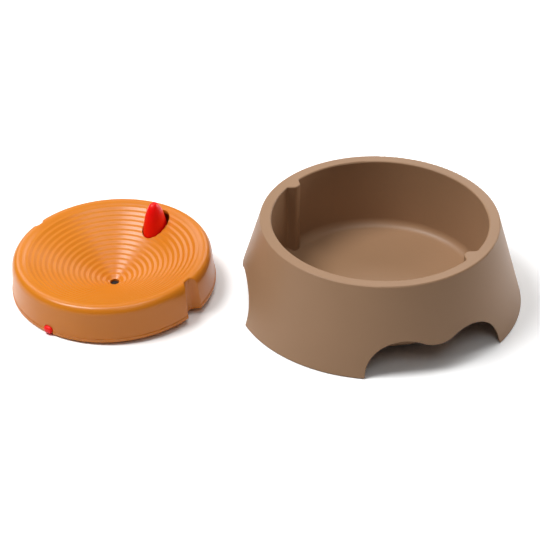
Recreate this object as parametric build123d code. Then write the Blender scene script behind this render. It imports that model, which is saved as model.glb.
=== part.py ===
from build123d import *
import os
from math import atan2, cos, degrees, radians, sin, sqrt, tan

os.makedirs("parts", exist_ok=True)

# Slow feeder dog bowl, in millimetres.
# The feeding insert stands on the floor beside the bowl, leaning on its hub and one edge.
# The origin is on the floor at the middle of the pair, +Z is up and +X runs from the insert to the bowl.

# Bowl: outer skirt and rim
bowl_height = 80.0
foot_circle_radius = 130.0
rim_radius = 106.5
mouth_radius = 96.4
skirt_wall = 2.8
rim_thickness = 2.8
rim_edge_radius = 1.3

# Bowl: inner tub
tub_wall = 2.8
floor_height = 10.0
floor_thickness = 2.6
floor_fillet = 8.0

# Bowl: guide ribs on the inside of the tub
rib_bearing = 142.8
rib_tip_width = 6.4
rib_base_width = 17.4
rib_depth = 6.6
rib_tip_radius = 4.0
rib_root_radius = 3.0

# Bowl: bone shaped finger cut-outs, one between each pair of feet
cutout_count = 3
cutout_bearing = 293.0
cutout_hump_radius = 34.5
cutout_hump_offset = 31.0
cutout_hump_height = 32.4
cutout_dip_height = 25.1
foot_corner_radius = 1.6

# Bowl: rubber foot pads in bosses behind the skirt
pad_radius = 6.5
pad_thickness = 2.6
pad_stand_off = 0.6
pad_side_clearance = 0.1
pad_boss_wall = 2.0
pad_boss_height = 7.0
pad_web_width = 14.0

# Insert: dish
dish_foot_radius = 92.4
dish_top_radius = 90.5
dish_shoulder_height = 26.5
parting_height = 3.5
shell_wall = 2.4
cone_start_height = -2.3
cone_slope_angle = 23.9
hub_hole_radius = 4.2
hub_radius = 7.0
hub_drop = 3.42
hub_pad_radius = 6.6
hub_pad_thickness = 0.8
ridge_outer_radius = 78.0
ridge_pitch = 4.8
ridge_height = 0.6
crest_radius = 84.0
ridge_margin = 1.0

# Insert: notches that ride on the bowl's ribs
notch_bearing = 144.8
notch_side_clearance = 4.5
notch_depth_clearance = 4.8
notch_inner_radius = 4.0
notch_mouth_radius = 1.5

# Insert: base plate
base_overhang = 0.4
base_plate_thickness = 2.0
base_lip_wall = 2.0
base_opening_clearance = 0.3
base_rim_wall = 1.6
base_rim_height = 2.5
base_rim_clearance = 0.2
base_edge_radius = 0.8

# Insert: screws that hold the base plate to the dish
screw_count = 4
screw_circle_radius = 76.0
screw_shank_radius = 1.25
screw_head_radius = 2.9
screw_head_thickness = 1.8
screw_length = 9.0
screw_recess = 0.4
screw_clearance = 0.05
screw_head_clearance = 0.3
screw_boss_radius = 4.0
screw_seat_thickness = 2.2

# Insert: lock slider, a thumb lobe, a yoke round the hub and a nub at the wall
slider_travel = 2.0
slider_thickness = 2.5
slider_play = 0.4
slider_side_clearance = 0.25
yoke_inner_radius = 26.0
yoke_width = 7.0
bar_width = 9.0
lobe_bar_width = 12.0
nub_reach = 2.5
nub_depth = 7.8
nub_height = 6.8
nub_floor_clearance = 0.6
nub_corner_radius = 3.3
nub_edge_radius = 2.4
nub_clearance = 0.4
guide_wall = 1.4
guide_length = 40.0
guide_start = 40.0
lobe_guide_start = 36.0
lobe_guide_length = 9.0
blade_thickness = 1.6
blade_positions = (-48.0, -74.0)
lobe_centre_radius = 63.3
lobe_half_length = 13.4
lobe_half_width = 10.2
lobe_slot_clearance = 0.8
lobe_wall_height = 20.0
lobe_peak_height = 50.2
lobe_taper = 1.23
lobe_roundness = 2.34
lobe_levels = (0.0, 0.25, 0.5, 0.7, 0.85, 0.95, 0.99)
lobe_tip_radius = 1.1

# Layout of the pair on the floor
insert_distance = 239.7
insert_bearing = 177.0
lean_bearing = 17.0

# How far cutters reach past what they cut
cut_margin = 5.0

# Values worked out from the ones above
skirt_slope = (foot_circle_radius - rim_radius) / bowl_height
skirt_angle = degrees(atan2(foot_circle_radius - rim_radius, bowl_height))
skirt_flat_wall = skirt_wall / cos(radians(skirt_angle))
tub_radius = mouth_radius + tub_wall
cone_rise = tan(radians(cone_slope_angle))
cone_drop = shell_wall / cos(radians(cone_slope_angle))
hub_bottom = hub_pad_thickness - hub_drop
base_radius = dish_foot_radius + base_overhang
wall_draft = (dish_foot_radius - dish_top_radius) / (dish_shoulder_height - parting_height)
lean_angle = degrees(atan2(hub_drop, base_radius - base_edge_radius - hub_pad_radius))
insert_lift_height = (base_radius - base_edge_radius) * sin(radians(lean_angle))
slider_floor = base_plate_thickness + slider_play
slider_top = slider_floor + slider_thickness
lock_bearing = notch_bearing - 90.0
rib_flare = (rib_base_width - rib_tip_width) / 2 / rib_depth
notch_radius = mouth_radius - rib_depth - notch_depth_clearance
notch_half_width = rib_tip_width / 2 + notch_side_clearance - rib_flare * notch_depth_clearance
ridge_count = int((ridge_outer_radius - hub_hole_radius - ridge_margin) / ridge_pitch)
nub_tip_radius = dish_foot_radius + nub_reach
screw_seat_height = screw_recess + screw_head_thickness + screw_seat_thickness
pad_boss_reach = skirt_flat_wall + skirt_slope * pad_boss_height + pad_radius + pad_boss_wall
pad_circle_radius = foot_circle_radius - pad_boss_reach

# Places of the bowl and the insert, before the pair is centred on the origin
insert_x = insert_distance * cos(radians(insert_bearing))
insert_y = insert_distance * sin(radians(insert_bearing))
bowl_place = Pos(0, 0, pad_stand_off)
lean = Rot(0, 0, lean_bearing) * Rot(0, -lean_angle, 0) * Rot(0, 0, -lean_bearing)
insert_place = Pos(insert_x, insert_y, insert_lift_height) * lean
lock_turn = Rot(0, 0, lock_bearing)


def polar(radius, bearing):
    """Point at a radius and a bearing from the centre line."""
    return radius * cos(radians(bearing)), radius * sin(radians(bearing))


def turned(outline):
    """Solid of revolution about Z from an outline of radius and height."""
    return revolve(Plane.XZ * make_face(outline), Axis.Z)


def rounded_corner(face, x, y, radius):
    """The face with its vertex nearest to x, y rounded."""
    vertex = face.vertices().sort_by_distance((x, y, 0))[0]
    return fillet(vertex, radius)


def prism(face, low, high):
    """Upright solid between two heights over a plan outline."""
    return extrude(Pos(0, 0, low) * face, high - low)


def post(radius, low, high, x=0.0, y=0.0):
    """Upright round post between two heights."""
    return Pos(x, y, low) * Cylinder(radius, high - low, align=(Align.CENTER, Align.CENTER, Align.MIN))


def block(x_low, x_high, y_low, y_high, z_low, z_high):
    """Rectangular block between its limits."""
    size = (x_high - x_low, y_high - y_low, z_high - z_low)
    return Pos(x_low, y_low, z_low) * Box(*size, align=(Align.MIN, Align.MIN, Align.MIN))


def cone_top(radius):
    """Height of the dish's mean cone at a radius."""
    return cone_start_height + cone_rise * radius


# Bowl
def bowl_shell():
    """Skirt, rim and tub as one turned shell."""
    rim_under = bowl_height - rim_thickness
    outline = Polyline(
        (foot_circle_radius, 0),
        (rim_radius, bowl_height),
        (0, bowl_height),
        (0, floor_height - floor_thickness),
        (tub_radius, floor_height - floor_thickness),
        (tub_radius, rim_under),
        (foot_circle_radius - skirt_flat_wall - skirt_slope * rim_under, rim_under),
        (foot_circle_radius - skirt_flat_wall, 0),
        close=True,
    )
    face = make_face(outline)
    face = rounded_corner(face, rim_radius, bowl_height, rim_edge_radius)
    face = rounded_corner(face, tub_radius, floor_height - floor_thickness, floor_fillet + floor_thickness)
    return revolve(Plane.XZ * face, Axis.Z)


def flared_plan(tip, outer, half_width, corner_radius):
    """Plan that widens outwards from its tip as a rib does, with rounded tip corners."""
    wide = half_width + rib_flare * (outer - tip)
    outline = Polyline((tip, -half_width), (tip, half_width), (outer, wide), (outer, -wide), close=True)
    face = make_face(outline)
    for way in (1, -1):
        face = rounded_corner(face, tip, way * half_width, corner_radius)
    return face


def rib_plan():
    """Plan of the tub's inside: a circle with two ribs standing into it."""
    rib = flared_plan(mouth_radius - rib_depth, tub_radius, rib_tip_width / 2, rib_tip_radius)
    face = Circle(mouth_radius) - rib - Rot(0, 0, 180) * rib
    roots = face.vertices().sort_by_distance((0, 0, 0))[-4:]
    return Rot(0, 0, rib_bearing) * fillet(roots, rib_root_radius)


def tub_hollow():
    """Space inside the tub, with the floor's fillet and the two ribs left standing."""
    above = bowl_height + cut_margin
    outline = Polyline(
        (0, floor_height), (mouth_radius, floor_height), (mouth_radius, above), (0, above), close=True
    )
    face = rounded_corner(make_face(outline), mouth_radius, floor_height, floor_fillet)
    return revolve(Plane.XZ * face, Axis.Z) & prism(rib_plan(), floor_height - cut_margin, above)


def cutout_outline():
    """Half round humps left and right of a shallow dip, drawn from below the feet."""
    hump_centre = cutout_hump_height - cutout_hump_radius
    gap = cutout_dip_height - hump_centre
    dip_radius = (cutout_hump_offset**2 + gap**2 - cutout_hump_radius**2) / (2 * (cutout_hump_radius - gap))
    reach = sqrt(cutout_hump_offset**2 + (gap + dip_radius) ** 2)
    joint_x = cutout_hump_offset * (1 - cutout_hump_radius / reach)
    joint_z = hump_centre + cutout_hump_radius * (gap + dip_radius) / reach
    side = cutout_hump_offset + cutout_hump_radius
    across = cutout_hump_radius * sin(radians(45))
    curves = []
    for way in (1, -1):
        foot = (way * side, hump_centre)
        curves.append(Line((way * side, -cut_margin), foot))
        over = (way * (cutout_hump_offset + across), hump_centre + across)
        curves.append(ThreePointArc(foot, over, (way * joint_x, joint_z)))
    curves.append(ThreePointArc((joint_x, joint_z), (0, cutout_dip_height), (-joint_x, joint_z)))
    curves.append(Line((-side, -cut_margin), (side, -cut_margin)))
    face = make_face(Curve() + curves)
    face += Pos(0, -cut_margin / 2) * Rectangle(2 * (side + cut_margin), cut_margin)
    corner_x = cutout_hump_offset + sqrt(cutout_hump_radius**2 - min(hump_centre, 0.0) ** 2)
    for way in (1, -1):
        face = rounded_corner(face, way * corner_x, 0, foot_corner_radius)
    return face


def cutout_tool():
    """Cutter for one finger cut-out, reaching from clear of the tub to outside the skirt."""
    start = tub_radius + skirt_wall
    plane = Plane(origin=(start, 0, 0), x_dir=(0, 1, 0), z_dir=(1, 0, 0))
    return extrude(plane * cutout_outline(), foot_circle_radius + cut_margin - start)


def pad_bearings():
    """Bearings of the middles of the feet."""
    step = 360.0 / cutout_count
    return [cutout_bearing + step * (index + 0.5) for index in range(cutout_count)]


def pad_boss():
    """Boss behind the skirt that holds one pad, joined to the skirt by a short web."""
    boss = post(pad_radius + pad_boss_wall, 0, pad_boss_height, pad_circle_radius)
    web_end = foot_circle_radius - skirt_flat_wall / 2 - skirt_slope * pad_boss_height
    half = pad_web_width / 2
    boss += block(pad_circle_radius, web_end, -half, half, 0, pad_boss_height)
    socket = post(pad_radius + pad_side_clearance, -cut_margin, pad_thickness - pad_stand_off, pad_circle_radius)
    return boss, socket


def bowl_body():
    """Bowl in one moulding: skirt on three feet, rim, tub and ribs."""
    body = bowl_shell() - tub_hollow()
    mouth_edges = body.edges().filter_by_position(Axis.Z, bowl_height, bowl_height)
    inner = [edge for edge in mouth_edges if Vector((edge @ 0).X, (edge @ 0).Y).length < tub_radius]
    body = fillet(inner, rim_edge_radius)
    for index in range(cutout_count):
        body -= Rot(0, 0, cutout_bearing + index * 360.0 / cutout_count) * cutout_tool()
    boss, socket = pad_boss()
    for bearing in pad_bearings():
        body += Rot(0, 0, bearing) * boss
        body -= Rot(0, 0, bearing) * socket
    return body


def bowl_foot_pads():
    """Rubber pads, one in each foot."""
    pads = []
    for bearing in pad_bearings():
        x, y = polar(pad_circle_radius, bearing)
        pads.append(post(pad_radius, -pad_stand_off, pad_thickness - pad_stand_off, x, y))
    return Part() + pads


# Insert
def ridge_points():
    """Ridged cone from the outermost ridge down to the hub hole, in radius and height."""
    points = [(ridge_outer_radius, cone_top(ridge_outer_radius))]
    for index in range(ridge_count):
        outer = ridge_outer_radius - index * ridge_pitch
        middle = outer - ridge_pitch / 2
        inner = outer - ridge_pitch
        points.append((middle, cone_top(middle) + ridge_height))
        points.append((inner, cone_top(inner)))
    points.append((hub_hole_radius, cone_top(hub_hole_radius)))
    return points


def dish_block():
    """Outside of the dish: wall, rounded crest, ridged cone and hub, filled solid."""
    slope = radians(cone_slope_angle)
    bend_radius = ridge_outer_radius + ridge_margin
    bend = (bend_radius, cone_top(bend_radius))
    arc_radius = (crest_radius - bend_radius) / sin(slope)
    crest_height = bend[1] + arc_radius * (1 - cos(slope))
    crest = (crest_radius, crest_height)
    inner_arc_middle = (
        crest_radius - arc_radius * sin(slope / 2),
        crest_height - arc_radius * (1 - cos(slope / 2)),
    )
    shoulder = (dish_top_radius, dish_shoulder_height)
    width = dish_top_radius - crest_radius
    drop = crest_height - dish_shoulder_height
    outer_arc_middle = (
        crest_radius + width * cos(radians(45)),
        dish_shoulder_height + drop * sin(radians(45)),
    )
    under_hub = cone_top(hub_radius) - cone_drop
    cone_foot = hub_radius + (parting_height - under_hub) / cone_rise
    curves = [
        Line((dish_foot_radius, parting_height), shoulder),
        Spline(shoulder, outer_arc_middle, crest, tangents=[(-wall_draft, 1), (-1, 0)]),
        ThreePointArc(crest, inner_arc_middle, bend),
        Line(bend, ridge_points()[0]),
        Polyline(*ridge_points()),
        Line((hub_hole_radius, cone_top(hub_hole_radius)), (hub_hole_radius, hub_bottom)),
        Line((hub_hole_radius, hub_bottom), (hub_radius, hub_bottom)),
        Line((hub_radius, hub_bottom), (hub_radius, under_hub)),
        Line((hub_radius, under_hub), (cone_foot, parting_height)),
        Line((cone_foot, parting_height), (dish_foot_radius, parting_height)),
    ]
    return turned(Curve() + curves)


def dish_hollow():
    """Space under the dish's shell, down to the parting line."""
    low = parting_height - cut_margin
    inner_foot = dish_foot_radius - shell_wall
    inner_shoulder = dish_top_radius - shell_wall
    cone_foot = (low - cone_start_height + cone_drop) / cone_rise
    ceiling = cone_top(ridge_outer_radius) - cone_drop
    top = dish_shoulder_height + shell_wall
    outline = Polyline(
        (inner_foot, low),
        (inner_foot, parting_height),
        (inner_shoulder, dish_shoulder_height),
        (crest_radius, top + shell_wall / 2),
        (ridge_outer_radius, ceiling),
        (cone_foot, low),
        close=True,
    )
    return turned(outline)


def notch_plan(growth=0.0):
    """Plan of one notch, parallel to the rib's flanks, or grown by a wall's thickness."""
    half_width = notch_half_width + growth * (sqrt(1 + rib_flare**2) - rib_flare)
    outer = dish_foot_radius + cut_margin
    return flared_plan(notch_radius - growth, outer, half_width, notch_inner_radius + growth)


def notch_tool(growth=0.0):
    """Pair of upright cutters for the notches, grown outwards for the wall behind them."""
    tool = prism(notch_plan(growth), -cut_margin, cone_top(dish_foot_radius))
    return Rot(0, 0, notch_bearing) * tool + Rot(0, 0, notch_bearing + 180) * tool


def screw_places():
    """Plan places of the screws, half way between the slider and the notches."""
    step = 360.0 / screw_count
    return [polar(screw_circle_radius, lock_bearing + step * (index + 0.5)) for index in range(screw_count)]


def slider_blades():
    """Blades under the cone that hold the slider's bar down."""
    blades = []
    for x in blade_positions:
        half = blade_thickness / 2
        high = cone_top(abs(x))
        low = slider_top + slider_play
        blades.append(block(x - half, x + half, -bar_width / 2, bar_width / 2, low, high))
    return lock_turn * (blades[0] + blades[1])


def lobe_slot():
    """Slot in the cone that the lobe moves in, longer than the lobe by its travel."""
    a = lobe_half_length + lobe_slot_clearance
    b = lobe_half_width + lobe_slot_clearance
    face = Pos(lobe_centre_radius, 0) * Ellipse(a, b)
    face += Pos(lobe_centre_radius + slider_travel, 0) * Ellipse(a, b)
    face += Pos(lobe_centre_radius + slider_travel / 2, 0) * Rectangle(slider_travel, 2 * b)
    return lock_turn * prism(face, parting_height, lobe_peak_height)


def nub_prism(inner, outer, growth=0.0):
    """Bar of the nub's rounded section, opposite the lobe, or of its section grown all round."""
    middle = nub_floor_clearance + nub_height / 2
    plane = Plane(origin=(-outer, 0, middle), x_dir=(0, 1, 0), z_dir=(1, 0, 0))
    section = RectangleRounded(bar_width + 2 * growth, nub_height + 2 * growth, nub_corner_radius + growth)
    return extrude(plane * section, outer - inner)


def nub_window():
    """Window for the nub, open downwards and deep enough for it to draw back."""
    half = bar_width / 2 + nub_clearance
    inner = nub_tip_radius - nub_depth - slider_travel - nub_clearance
    outer = base_radius + cut_margin
    middle = nub_floor_clearance + nub_height / 2
    window = nub_prism(inner, outer, nub_clearance)
    return lock_turn * (window + block(-outer, -inner, -half, half, -cut_margin, middle))


def notched_block():
    """The filled dish with its two notches, their mouths rounded over."""
    block_alone = dish_block()
    tool = notch_tool()
    notched = block_alone - tool
    mouths = [edge for edge in new_edges(block_alone, tool, combined=notched)
              if edge.center().Z > parting_height + notch_mouth_radius]
    return fillet(mouths, notch_mouth_radius)


def insert_dish():
    """Ridged feeding dish: shell with notches, slot, hub hole and screw bosses."""
    hollow = dish_hollow() - notch_tool(shell_wall) - slider_blades()
    for x, y in screw_places():
        hollow -= post(screw_boss_radius, screw_seat_height, cone_top(dish_foot_radius), x, y)
    dish = notched_block() - hollow
    dish -= lobe_slot()
    dish -= nub_window()
    for x, y in screw_places():
        depth = screw_seat_height + screw_length
        dish -= post(screw_shank_radius + screw_clearance, 0, depth, x, y)
    return dish


def insert_base():
    """Base plate: floor ring round the hub, lip, locating rim, slider guides and screw seats."""
    opening = (base_plate_thickness - cone_start_height + cone_drop) / cone_rise + base_opening_clearance
    rim_outer = dish_foot_radius - shell_wall - base_rim_clearance - wall_draft * base_rim_height
    rim_top = parting_height + base_rim_height
    outline = Polyline(
        (opening, 0),
        (base_radius, 0),
        (base_radius, parting_height),
        (base_radius - base_lip_wall, parting_height),
        (rim_outer, parting_height),
        (rim_outer, rim_top),
        (rim_outer - base_rim_wall, rim_top),
        (rim_outer - base_rim_wall, base_plate_thickness),
        (opening, base_plate_thickness),
        close=True,
    )
    face = rounded_corner(make_face(outline), base_radius, 0, base_edge_radius)
    base = revolve(Plane.XZ * face, Axis.Z)
    base += prism(Circle(base_radius) & notch_shelf(), base_plate_thickness / 2, parting_height)
    base -= notch_tool()
    base -= notch_tool(shell_wall + base_rim_clearance) & post(dish_foot_radius, parting_height, rim_top)
    base += slider_guides()
    for x, y in screw_places():
        base += post(screw_boss_radius + 1, 0, screw_seat_height, x, y)
        head_seat = screw_recess + screw_head_thickness
        base -= post(screw_head_radius + screw_head_clearance, -cut_margin, head_seat, x, y)
        base -= post(screw_shank_radius + screw_head_clearance, 0, screw_seat_height + cut_margin, x, y)
    return base - nub_window()


def notch_shelf():
    """Plan of the wall behind the notches, which the base closes from below."""
    face = notch_plan(shell_wall + base_rim_wall)
    return Rot(0, 0, notch_bearing) * face + Rot(0, 0, notch_bearing + 180) * face


def slider_guides():
    """Low rails on the base that keep the slider straight."""
    low = base_plate_thickness / 2
    rails = []
    for way in (1, -1):
        near = way * (bar_width / 2 + slider_side_clearance)
        far = near + way * guide_wall
        end = -guide_start - guide_length
        rails.append(block(end, -guide_start, min(near, far), max(near, far), low, slider_top))
        near = way * (lobe_bar_width / 2 + slider_side_clearance)
        far = near + way * guide_wall
        end = lobe_guide_start + lobe_guide_length
        rails.append(block(lobe_guide_start, end, min(near, far), max(near, far), low, slider_top))
    return lock_turn * (rails[0] + rails[1] + rails[2] + rails[3])


def hub_pad():
    """Rubber pad under the hub, which closes the hub's hole from below."""
    return post(hub_pad_radius, -hub_drop, hub_bottom)


def base_screws():
    """Self-tapping screws with flat heads, driven up from below."""
    low = screw_recess - screw_clearance
    seat = low + screw_head_thickness
    bevel = screw_head_thickness / 3
    outline = Polyline(
        (0, low),
        (screw_head_radius - bevel, low),
        (screw_head_radius, low + bevel),
        (screw_head_radius, seat),
        (screw_shank_radius, seat),
        (screw_shank_radius, seat + screw_length),
        (0, seat + screw_length),
        close=True,
    )
    screw = turned(outline)
    return Part() + [Pos(x, y) * screw for x, y in screw_places()]


def lobe():
    """Thumb lobe: an oval post that closes in a rounded crown."""
    rise = lobe_peak_height - lobe_wall_height
    ovals = []
    for level in lobe_levels:
        share = (1 - level**lobe_taper) ** (1 / lobe_roundness)
        oval = Ellipse(lobe_half_length * share, lobe_half_width * share)
        ovals.append(Pos(0, 0, lobe_wall_height + level * rise) * oval)
    crown = loft(ovals)
    crown = fillet(crown.faces().sort_by(Axis.Z)[-1].edges(), lobe_tip_radius)
    post_plan = Ellipse(lobe_half_length, lobe_half_width)
    return Pos(lobe_centre_radius, 0) * (prism(post_plan, slider_floor, lobe_wall_height) + crown)


def lock_slider():
    """Red slider in one moulding: nub, bar, yoke round the hub, root and thumb lobe."""
    yoke_outer = yoke_inner_radius + yoke_width
    slider = post(yoke_outer, slider_floor, slider_top) - post(yoke_inner_radius, 0, slider_top + cut_margin)
    middle = yoke_inner_radius + yoke_width / 2
    nub_inner = nub_tip_radius - nub_depth
    slider += block(-nub_inner - bar_width / 4, -middle, -bar_width / 2, bar_width / 2, slider_floor, slider_top)
    half = lobe_bar_width / 2
    slider += block(middle, lobe_centre_radius, -half, half, slider_floor, slider_top)
    slider += lobe()
    nub = nub_prism(nub_inner, nub_tip_radius)
    nub = fillet(nub.faces().sort_by(Axis.X)[0].edges(), nub_edge_radius)
    return lock_turn * (slider + nub)


def placed_parts():
    """Every node in its place on the floor, with the middle of the pair at the origin."""
    parts = {
        "bowl_body": bowl_place * bowl_body(),
        "bowl_foot_pads": bowl_place * bowl_foot_pads(),
        "insert_dish": insert_place * insert_dish(),
        "insert_base": insert_place * insert_base(),
        "hub_pad": insert_place * hub_pad(),
        "base_screws": insert_place * base_screws(),
        "lock_slider": insert_place * lock_slider(),
    }
    boxes = [part.bounding_box() for part in parts.values()]
    middle_x = (min(box.min.X for box in boxes) + max(box.max.X for box in boxes)) / 2
    middle_y = (min(box.min.Y for box in boxes) + max(box.max.Y for box in boxes)) / 2
    print(f"bowl centre {-middle_x:.3f}, {-middle_y:.3f}, {pad_stand_off:.3f}")
    print(f"insert centre {insert_x - middle_x:.3f}, {insert_y - middle_y:.3f}, {insert_lift_height:.3f}")
    return {name: Pos(-middle_x, -middle_y, 0) * part for name, part in parts.items()}


for name, part in placed_parts().items():
    export_step(part, f"parts/{name}.step")
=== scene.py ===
from math import cos, radians, sin

import bpy
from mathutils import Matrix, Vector

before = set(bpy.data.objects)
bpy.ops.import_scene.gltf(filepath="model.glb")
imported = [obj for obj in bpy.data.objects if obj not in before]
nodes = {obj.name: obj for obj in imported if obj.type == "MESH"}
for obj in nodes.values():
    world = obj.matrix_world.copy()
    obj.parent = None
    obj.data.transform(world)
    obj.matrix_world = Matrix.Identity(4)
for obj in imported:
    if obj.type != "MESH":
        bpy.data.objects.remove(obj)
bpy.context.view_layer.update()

# Camera, fitted to the bowl's rim and foot circles, in metres and degrees
view = {
    "place": (0.003697, -1.454642, 1.026997),
    "pitch": 34.577,  # below the horizon
    "lens": 130.470,
    "sensor": 36.0,
    "nearClip": 0.05,
    "farClip": 20.0,
}
cameraData = bpy.data.cameras.new("productCamera")
cameraData.lens = view["lens"]
cameraData.sensor_width = view["sensor"]
cameraData.clip_start = view["nearClip"]
cameraData.clip_end = view["farClip"]
camera = bpy.data.objects.new("productCamera", cameraData)
camera.location = view["place"]
camera.rotation_euler = (radians(90.0 - view["pitch"]), 0.0, 0.0)
bpy.context.scene.collection.objects.link(camera)
bpy.context.scene.camera = camera
bpy.context.scene.view_settings.view_transform = "Standard"
print("camera set")


# Material helpers, most add one node, join it up and give back its output
def newMaterial(name):
    material = bpy.data.materials.new(name)
    material.use_nodes = True
    tree = material.node_tree
    return material, tree, tree.nodes["Principled BSDF"]


def addNode(tree, kind, **settings):
    made = tree.nodes.new(kind)
    for key, value in settings.items():
        setattr(made, key, value)
    return made


def noiseAt(tree, scale, detail, roughness=0.5):
    coords = addNode(tree, "ShaderNodeTexCoord")
    noise = addNode(tree, "ShaderNodeTexNoise")
    noise.inputs["Scale"].default_value = scale
    noise.inputs["Detail"].default_value = detail
    noise.inputs["Roughness"].default_value = roughness
    tree.links.new(coords.outputs["Object"], noise.inputs["Vector"])
    return noise.outputs["Fac"]


def rampOf(tree, factor, look):
    ramp = addNode(tree, "ShaderNodeValToRGB")
    darkPoint, lightPoint = ramp.color_ramp.elements
    darkPoint.position = look["darkStop"]
    darkPoint.color = (*look["dark"], 1.0)
    lightPoint.position = look["lightStop"]
    lightPoint.color = (*look["light"], 1.0)
    tree.links.new(factor, ramp.inputs["Fac"])
    return ramp.outputs["Color"]


def rangeOf(tree, factor, low, high):
    span = addNode(tree, "ShaderNodeMapRange")
    span.inputs["To Min"].default_value = low
    span.inputs["To Max"].default_value = high
    tree.links.new(factor, span.inputs["Value"])
    return span.outputs["Result"]


def bumpOf(tree, height, strength, distance, before):
    bump = addNode(tree, "ShaderNodeBump")
    bump.inputs["Strength"].default_value = strength
    bump.inputs["Distance"].default_value = distance
    tree.links.new(height, bump.inputs["Height"])
    tree.links.new(before, bump.inputs["Normal"])
    return bump.outputs["Normal"]


def roundedEdges(tree, radius, samples=8):
    # shades sharp edges as if they were rounded
    bevel = addNode(tree, "ShaderNodeBevel", samples=samples)
    bevel.inputs["Radius"].default_value = radius
    return bevel.outputs["Normal"]


def linear(red, green, blue):
    # colour picker values, 0 to 255, as the shader wants them
    shares = [channel / 255.0 for channel in (red, green, blue)]
    return tuple(((s + 0.055) / 1.055) ** 2.4 if s > 0.04 else s / 12.92 for s in shares)


# Moulded plastics, satin with a fine grain and slow waves
moulding = {  # what the three plastics share
    "darkStop": 0.3,
    "lightStop": 0.7,
    "cloudDetail": 2.0,
    "grainDetail": 2.0,
    "grainRoughness": 0.6,
    "grainHeight": 0.0002,
    "waveDetail": 1.0,
    "waveHeight": 0.001,
    "bleedDepth": 0.004,
}
bowlLook = {
    **moulding,
    "dark": linear(152, 118, 88),
    "light": linear(159, 124, 94),
    "cloudScale": 9.0,
    "edgeRadius": 0.0007,
    "grainScale": 1400.0,
    "grainStrength": 0.10,
    "waveScale": 24.0,
    "waveStrength": 0.02,
    "roughLow": 0.40,
    "roughHigh": 0.50,
    "specular": 0.38,
    "subsurface": 0.0,
    "bleed": (0.6, 0.4, 0.3),
}
insertLook = {
    **moulding,
    "dark": linear(208, 120, 24),
    "light": linear(213, 126, 28),
    "cloudScale": 11.0,
    "edgeRadius": 0.0007,
    "grainScale": 1500.0,
    "grainStrength": 0.08,
    "waveScale": 30.0,
    "waveStrength": 0.02,
    "roughLow": 0.27,
    "roughHigh": 0.33,
    "specular": 0.40,
    "subsurface": 0.05,
    "bleed": (1.0, 0.45, 0.15),
}
baseLook = {
    **insertLook,
    "edgeRadius": 0.00035,  # keeps the base's thin lip crisp
}
lockLook = {
    **moulding,
    "dark": linear(244, 6, 2),
    "light": linear(250, 9, 3),
    "cloudScale": 20.0,
    "edgeRadius": 0.0005,
    "grainScale": 1500.0,
    "grainStrength": 0.04,
    "waveScale": 60.0,
    "waveStrength": 0.01,
    "roughLow": 0.32,
    "roughHigh": 0.40,
    "specular": 0.32,
    "subsurface": 0.05,
    "bleed": (1.0, 0.2, 0.1),
}


def mouldedPlastic(name, look):
    material, tree, shader = newMaterial(name)
    cloud = noiseAt(tree, look["cloudScale"], look["cloudDetail"])
    tree.links.new(rampOf(tree, cloud, look), shader.inputs["Base Color"])
    grain = noiseAt(tree, look["grainScale"], look["grainDetail"], look["grainRoughness"])
    rough = rangeOf(tree, grain, look["roughLow"], look["roughHigh"])
    tree.links.new(rough, shader.inputs["Roughness"])
    edges = roundedEdges(tree, look["edgeRadius"])
    wave = noiseAt(tree, look["waveScale"], look["waveDetail"])
    waves = bumpOf(tree, wave, look["waveStrength"], look["waveHeight"], edges)
    skin = bumpOf(tree, grain, look["grainStrength"], look["grainHeight"], waves)
    tree.links.new(skin, shader.inputs["Normal"])
    shader.inputs["Specular IOR Level"].default_value = look["specular"]
    shader.inputs["Subsurface Weight"].default_value = look["subsurface"]
    shader.inputs["Subsurface Radius"].default_value = look["bleed"]
    shader.inputs["Subsurface Scale"].default_value = look["bleedDepth"]
    return material


# Rubber of the pads and steel of the screws
padLook = {
    "dark": linear(36, 31, 28),
    "light": linear(46, 41, 37),
    "darkStop": 0.35,
    "lightStop": 0.65,
    "speckScale": 900.0,
    "speckDetail": 4.0,
    "speckRoughness": 0.7,
    "speckStrength": 0.25,
    "speckHeight": 0.0002,
    "edgeRadius": 0.0004,
    "roughLow": 0.72,
    "roughHigh": 0.88,
    "specular": 0.3,
    "metallic": 0.0,
}
screwLook = {
    "dark": linear(150, 152, 154),
    "light": linear(186, 187, 186),
    "darkStop": 0.3,
    "lightStop": 0.7,
    "speckScale": 500.0,
    "speckDetail": 3.0,
    "speckRoughness": 0.6,
    "speckStrength": 0.1,
    "speckHeight": 0.0001,
    "edgeRadius": 0.0002,
    "roughLow": 0.26,
    "roughHigh": 0.42,
    "specular": 0.5,
    "metallic": 1.0,
}


def speckledSurface(name, look):
    material, tree, shader = newMaterial(name)
    speck = noiseAt(tree, look["speckScale"], look["speckDetail"], look["speckRoughness"])
    tree.links.new(rampOf(tree, speck, look), shader.inputs["Base Color"])
    rough = rangeOf(tree, speck, look["roughLow"], look["roughHigh"])
    tree.links.new(rough, shader.inputs["Roughness"])
    edges = roundedEdges(tree, look["edgeRadius"])
    skin = bumpOf(tree, speck, look["speckStrength"], look["speckHeight"], edges)
    tree.links.new(skin, shader.inputs["Normal"])
    shader.inputs["Specular IOR Level"].default_value = look["specular"]
    shader.inputs["Metallic"].default_value = look["metallic"]
    return material


bowlPlastic = mouldedPlastic("bowlPlastic", bowlLook)
insertPlastic = mouldedPlastic("insertPlastic", insertLook)
basePlastic = mouldedPlastic("basePlastic", baseLook)
lockPlastic = mouldedPlastic("lockPlastic", lockLook)
padRubber = speckledSurface("padRubber", padLook)
screwSteel = speckledSurface("screwSteel", screwLook)
print("materials made")


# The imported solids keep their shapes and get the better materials
def dress(name, material):
    node = nodes[name]
    node.data.materials.clear()
    node.data.materials.append(material)


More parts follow.
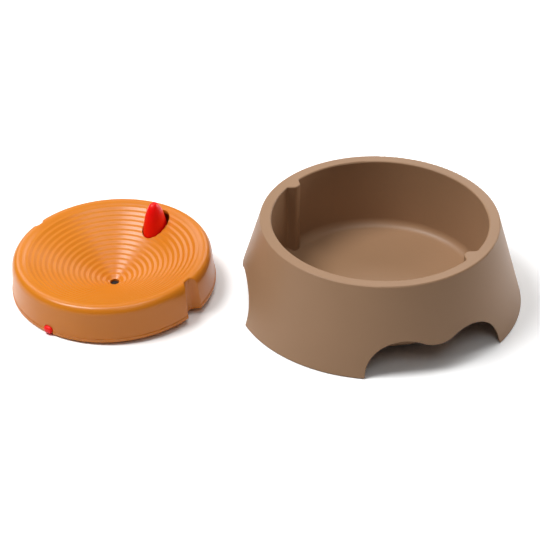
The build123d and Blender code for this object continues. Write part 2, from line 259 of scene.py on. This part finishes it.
dress("bowl_body", bowlPlastic)
dress("bowl_foot_pads", padRubber)
dress("insert_dish", insertPlastic)
dress("insert_base", basePlastic)
dress("hub_pad", padRubber)
dress("base_screws", screwSteel)
dress("lock_slider", lockPlastic)
print("nodes dressed")

# Floor and soft light, the paper floor shows white and keeps the shadows
studio = {
    "floorSize": 8.0,
    "floorColour": (0.80, 0.80, 0.80),
    "seenFloorColour": (1.12, 1.12, 1.12),  # what the lens and the gloss see of it
    "worldColour": (1.0, 1.0, 1.0),
    "worldLevel": 0.05,
    "lampSize": 0.8,
    "distance": 1.8,
    "lamps": {  # elevation, azimuth and watts
        "keyLamp": (62.0, 182.0, 26.5),
        "topLamp": (88.0, 0.0, 7.5),
        "rightLamp": (16.0, 30.0, 12.0),
        "backLampLeft": (35.0, 120.0, 4.5),
        "backLampRight": (35.0, 75.0, 5.0),
        "frontLamp": (56.0, 285.0, 3.0),
    },
}


def paperOf(tree, colour):
    paper = addNode(tree, "ShaderNodeBsdfDiffuse")
    paper.inputs["Color"].default_value = (*colour, 1.0)
    return paper.outputs["BSDF"]


def sumOf(tree, first, second):
    total = addNode(tree, "ShaderNodeMath", operation="ADD", use_clamp=True)
    tree.links.new(first, total.inputs[0])
    tree.links.new(second, total.inputs[1])
    return total.outputs["Value"]


def floorPaper():
    material, tree, shader = newMaterial("floorPaper")
    tree.nodes.remove(shader)
    rays = addNode(tree, "ShaderNodeLightPath").outputs
    seen = sumOf(tree, rays["Is Camera Ray"], rays["Is Glossy Ray"])
    seen = sumOf(tree, seen, rays["Is Transmission Ray"])
    paperMix = addNode(tree, "ShaderNodeMixShader")
    tree.links.new(seen, paperMix.inputs["Fac"])
    tree.links.new(paperOf(tree, studio["floorColour"]), paperMix.inputs[1])
    tree.links.new(paperOf(tree, studio["seenFloorColour"]), paperMix.inputs[2])
    surface = tree.nodes["Material Output"].inputs["Surface"]
    tree.links.new(paperMix.outputs["Shader"], surface)
    return material


bpy.ops.mesh.primitive_plane_add(size=studio["floorSize"], location=(0.0, 0.0, 0.0))
floor = bpy.context.object
floor.name = "studioFloor"
floor.data.materials.append(floorPaper())


def softBox(name, elevation, azimuth, power):
    # a round lamp that looks at the origin
    lamp = bpy.data.lights.new(name, "AREA")
    lamp.shape = "DISK"
    lamp.size = studio["lampSize"]
    lamp.energy = power
    tilt = radians(elevation)
    turn = radians(azimuth)
    direction = Vector((cos(turn) * cos(tilt), sin(turn) * cos(tilt), sin(tilt)))
    lampObject = bpy.data.objects.new(name, lamp)
    lampObject.location = direction * studio["distance"]
    lampObject.rotation_euler = (-direction).to_track_quat("-Z", "Y").to_euler()
    bpy.context.scene.collection.objects.link(lampObject)


for lampName, (elevation, azimuth, power) in studio["lamps"].items():
    softBox(lampName, elevation, azimuth, power)
world = bpy.data.worlds.new("studioWorld")
bpy.context.scene.world = world
world.use_nodes = True
background = world.node_tree.nodes["Background"]
background.inputs["Color"].default_value = (*studio["worldColour"], 1.0)
background.inputs["Strength"].default_value = studio["worldLevel"]
print("studio set")
